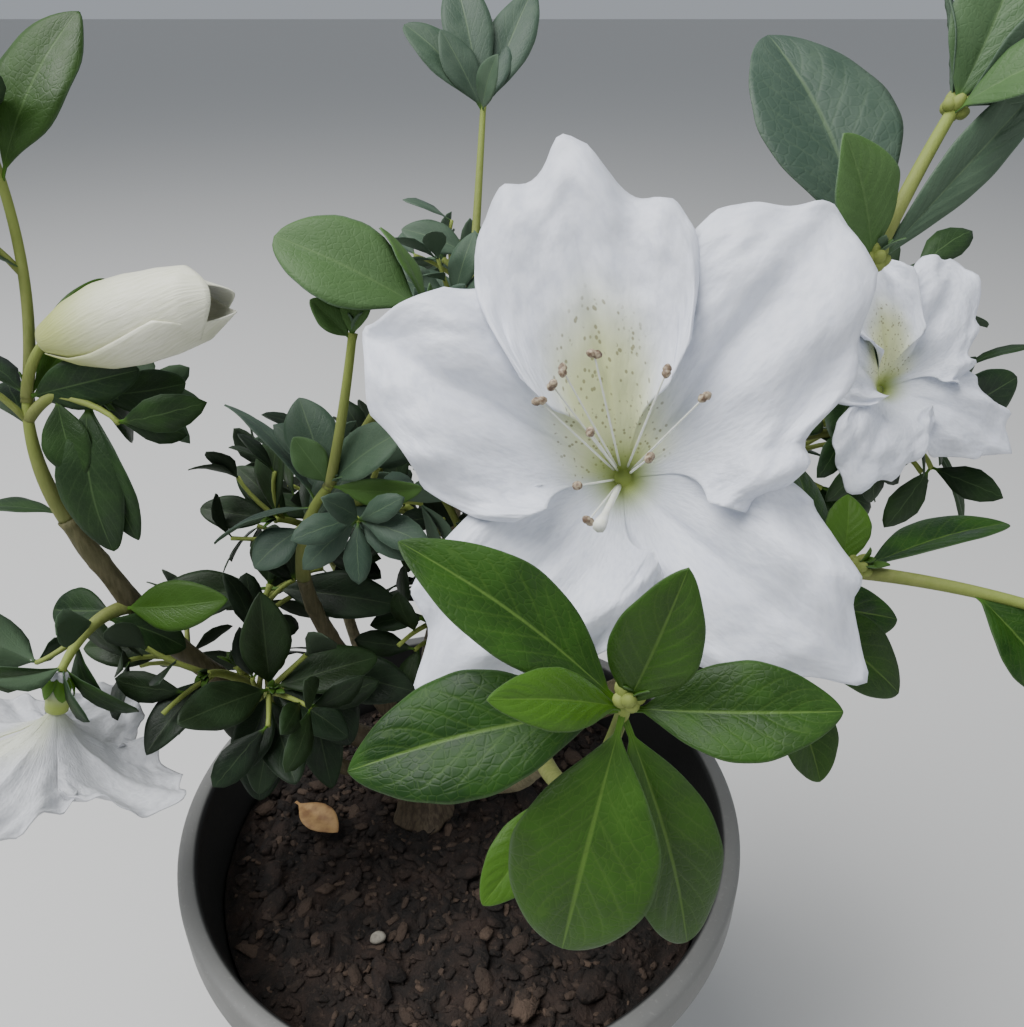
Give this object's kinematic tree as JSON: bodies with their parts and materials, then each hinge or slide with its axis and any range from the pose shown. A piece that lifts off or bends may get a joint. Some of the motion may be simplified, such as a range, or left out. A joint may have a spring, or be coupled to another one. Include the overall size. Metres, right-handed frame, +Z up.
{
  "type": "potted azalea shrub",
  "caption": "Young azalea shrub with white blooms on arching boughs, growing in a round tapered nursery pot.",
  "frame": {"origin": "centre of the pot's flat underside, where it stands", "axes": "+Z up along the pot's axis, -Y towards the open bloom and the leaf whorl under it, +X to the right of a person who faces the bloom"},
  "size_m": [0.2723, 0.2664, 0.3692],
  "materials": {
    "pot": "grey moulded plastic, matt, a little scuffed",
    "potting_mix": "damp dark bark and peat mix, coarse",
    "bark": "young brown bark, green-tinged towards the tips",
    "foliage": "satin green leaves with paler midribs, and white blooms"
  },
  "bodies": {
    "root": {"pot": "pot", "potting_mix": "potting_mix", "trunk": "bark", "bough_left": "bark", "bough_left_upper": "bark", "bough_left_low": "bark", "bough_middle": "bark", "bough_front": "bark", "bough_bloom": "bark", "bough_right": "bark", "bough_right_upper": "bark", "bough_right_low": "bark", "bough_back": "bark", "bough_back_right": "bark", "bough_back_left": "bark", "spray_front_whorl": "foliage", "spray_main_bloom": "foliage", "spray_right": "foliage", "spray_top_right": "foliage", "spray_middle": "foliage", "spray_left_tip": "foliage", "spray_left_bloom": "foliage", "spray_left_low": "foliage", "spray_back_left": "foliage", "spray_back": "foliage", "spray_back_right": "foliage", "spray_heart": "foliage", "spray_right_low": "foliage"}
  },
  "joints": []
}
